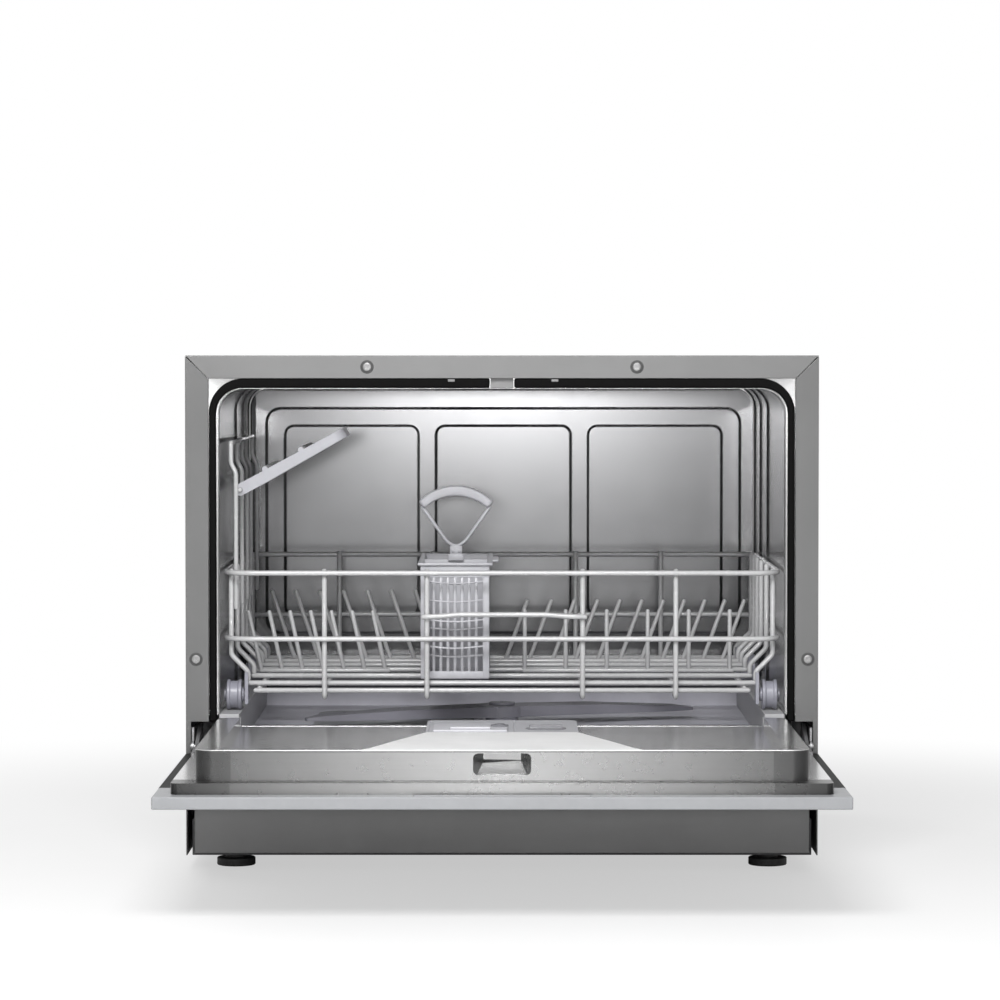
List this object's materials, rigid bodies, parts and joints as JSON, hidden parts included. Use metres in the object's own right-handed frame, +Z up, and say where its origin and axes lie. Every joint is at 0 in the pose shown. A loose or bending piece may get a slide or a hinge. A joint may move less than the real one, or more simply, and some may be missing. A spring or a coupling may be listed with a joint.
{
  "type": "countertop dishwasher",
  "caption": "Compact box dishwasher for a worktop with a drop-down front door, a roll-out wire basket with plate tines, a cup shelf and a lattice cutlery basket.",
  "frame": {"origin": "on the worktop, under the middle of the whole machine with its door down", "axes": "+X to the right seen from the front, +Y from the door to the back, +Z up"},
  "size_m": [0.551, 0.8224, 0.45],
  "materials": {
    "cabinet_steel": "satin brushed",
    "tub_steel": "bright pressed",
    "door_steel": "satin brushed",
    "hinge_steel": "zinc plated",
    "screw_steel": "bright",
    "base_plastic": "moulded",
    "foot_rubber": "matte",
    "seal_rubber": "matte",
    "floor_plastic": "moulded",
    "arm_plastic": "moulded",
    "rail_plastic": "moulded",
    "latch_plastic": "moulded",
    "panel_plastic": "fine texture",
    "button_plastic": "gloss",
    "display_black": "gloss",
    "board_green": "laminate",
    "dispenser_plastic": "moulded",
    "cap_plastic": "moulded",
    "wire_coating": "dip coated wire",
    "roller_plastic": "moulded",
    "basket_plastic": "moulded",
    "shelf_plastic": "moulded",
    "filter_plastic": "moulded",
    "pump_plastic": "moulded",
    "heater_steel": "drawn",
    "fitting_plastic": "moulded"
  },
  "bodies": {
    "cabinet": {"base_tray": "base_plastic", "adjustable_feet": "foot_rubber", "plinth_panel": "cabinet_steel", "left_side_panel": "cabinet_steel", "right_side_panel": "cabinet_steel", "top_panel": "cabinet_steel", "back_panel": "cabinet_steel", "front_screws": "screw_steel", "tub": "tub_steel", "tub_floor": "floor_plastic", "tub_sill": "tub_steel", "roller_rails": "rail_plastic", "door_gasket": "seal_rubber", "lower_door_seal": "seal_rubber", "hinge_brackets": "hinge_steel", "hinge_pins": "hinge_steel", "door_springs": "hinge_steel", "sump": "pump_plastic", "flat_filter": "filter_plastic", "wash_pump": "pump_plastic", "drain_pump": "pump_plastic", "flow_heater": "heater_steel", "softener_tank": "fitting_plastic", "inlet_valve": "fitting_plastic", "drain_spigot": "pump_plastic", "cable_gland": "base_plastic", "spray_arm_nut": "arm_plastic"},
    "door": {"outer_door_panel": "door_steel", "control_panel": "panel_plastic", "door_liner": "door_steel", "hinge_arms": "hinge_steel", "control_board": "board_green", "display_window": "display_black", "dispenser_body": "dispenser_plastic"},
    "basket": {"basket_rails": "wire_coating", "floor_wires": "wire_coating", "side_wires": "wire_coating", "length_wires": "wire_coating", "left_tine_rows": "wire_coating", "right_tine_rows": "wire_coating", "roller_brackets": "roller_plastic", "shelf_rack": "wire_coating"},
    "latch": {"latch_bolt": "latch_plastic"},
    "filter": {"filter_cylinder": "filter_plastic"},
    "salt_cap": {"salt_cap": "fitting_plastic"},
    "float": {"float_bell": "fitting_plastic"},
    "spray_arm": {"spray_arm": "arm_plastic"},
    "power_button": {"power_button": "button_plastic"},
    "program_button": {"program_button": "button_plastic"},
    "half_load_button": {"half_load_button": "button_plastic"},
    "delay_button": {"delay_button": "button_plastic"},
    "start_button": {"start_button": "button_plastic"},
    "dispenser_lid": {"dispenser_lid": "cap_plastic"},
    "rinse_aid_cap": {"rinse_aid_cap": "cap_plastic"},
    "front_left_roller": {"front_left_roller": "roller_plastic"},
    "front_right_roller": {"front_right_roller": "roller_plastic"},
    "rear_left_roller": {"rear_left_roller": "roller_plastic"},
    "rear_right_roller": {"rear_right_roller": "roller_plastic"},
    "cup_shelf": {"cup_shelf": "shelf_plastic"},
    "cutlery_basket": {"cutlery_basket": "basket_plastic"}
  },
  "joints": [
    {"name": "door_hinge", "type": "hinge", "parent": "cabinet", "child": "door", "pos_m": [0, -0.07275, 0.1095], "axis": [-1, 0, 0], "range_deg": [0, 90]},
    {"name": "basket_slide", "type": "slide", "parent": "cabinet", "child": "basket", "axis": [0, 1, 0], "range_m": [-0.3, 0]},
    {"name": "spray_arm_spin", "type": "hinge", "parent": "cabinet", "child": "spray_arm", "pos_m": [0, 0.14125, 0.12], "axis": [0, 0, 1], "continuous": true},
    {"name": "filter_turn", "type": "hinge", "parent": "cabinet", "child": "filter", "pos_m": [-0.096, 0.18125, 0.1], "axis": [0, 0, 1], "range_deg": [0, 90]},
    {"name": "salt_cap_turn", "type": "hinge", "parent": "cabinet", "child": "salt_cap", "pos_m": [-0.165, 0.03625, 0.11], "axis": [0, 0, 1], "range_deg": [0, 90]},
    {"name": "float_lift", "type": "slide", "parent": "cabinet", "child": "float", "axis": [0, 0, 1], "range_m": [0, 0.006]},
    {"name": "latch_drop", "type": "slide", "parent": "cabinet", "child": "latch", "axis": [0, 0, -1], "range_m": [0, 0.008], "stiffness_N_per_m": 60, "springref_m": -0.004},
    {"name": "dispenser_lid_slide", "type": "slide", "parent": "door", "child": "dispenser_lid", "axis": [0, 1, 0], "range_m": [0, 0.052]},
    {"name": "rinse_aid_cap_turn", "type": "hinge", "parent": "door", "child": "rinse_aid_cap", "pos_m": [0.037, -0.18075, 0.13], "axis": [0, 0, 1], "range_deg": [0, 90]},
    {"name": "cup_shelf_fold", "type": "hinge", "parent": "basket", "child": "cup_shelf", "pos_m": [-0.231, 0.07125, 0.3315], "axis": [0, -1, 0], "range_deg": [0, 20]},
    {"name": "cutlery_basket_lift", "type": "slide", "parent": "basket", "child": "cutlery_basket", "axis": [0, 0, 1], "range_m": [0, 0.07]},
    {"name": "power_press", "type": "slide", "parent": "door", "child": "power_button", "axis": [0, 0, 1], "range_m": [0, 0.0015], "stiffness_N_per_m": 200, "springref_m": -0.0005},
    {"name": "program_press", "type": "slide", "parent": "door", "child": "program_button", "axis": [0, 0, 1], "range_m": [0, 0.0015], "stiffness_N_per_m": 200, "springref_m": -0.0005},
    {"name": "half_load_press", "type": "slide", "parent": "door", "child": "half_load_button", "axis": [0, 0, 1], "range_m": [0, 0.0015], "stiffness_N_per_m": 200, "springref_m": -0.0005},
    {"name": "delay_press", "type": "slide", "parent": "door", "child": "delay_button", "axis": [0, 0, 1], "range_m": [0, 0.0015], "stiffness_N_per_m": 200, "springref_m": -0.0005},
    {"name": "start_press", "type": "slide", "parent": "door", "child": "start_button", "axis": [0, 0, 1], "range_m": [0, 0.0015], "stiffness_N_per_m": 200, "springref_m": -0.0005},
    {"name": "front_left_roller_spin", "type": "hinge", "parent": "basket", "child": "front_left_roller", "pos_m": [-0.236, -0.02275, 0.151], "axis": [1, 0, 0], "range_deg": [-10, 1310]},
    {"name": "front_right_roller_spin", "type": "hinge", "parent": "basket", "child": "front_right_roller", "pos_m": [0.236, -0.02275, 0.151], "axis": [1, 0, 0], "range_deg": [-10, 1310]},
    {"name": "rear_left_roller_spin", "type": "hinge", "parent": "basket", "child": "rear_left_roller", "pos_m": [-0.236, 0.27325, 0.151], "axis": [1, 0, 0], "range_deg": [-10, 1310]},
    {"name": "rear_right_roller_spin", "type": "hinge", "parent": "basket", "child": "rear_right_roller", "pos_m": [0.236, 0.27325, 0.151], "axis": [1, 0, 0], "range_deg": [-10, 1310]}
  ],
  "couplings": [
    {"joint": "front_left_roller_spin", "follows": "basket_slide", "rad_per_m": -75.758},
    {"joint": "front_right_roller_spin", "follows": "basket_slide", "rad_per_m": -75.758},
    {"joint": "rear_left_roller_spin", "follows": "basket_slide", "rad_per_m": -75.758},
    {"joint": "rear_right_roller_spin", "follows": "basket_slide", "rad_per_m": -75.758}
  ]
}
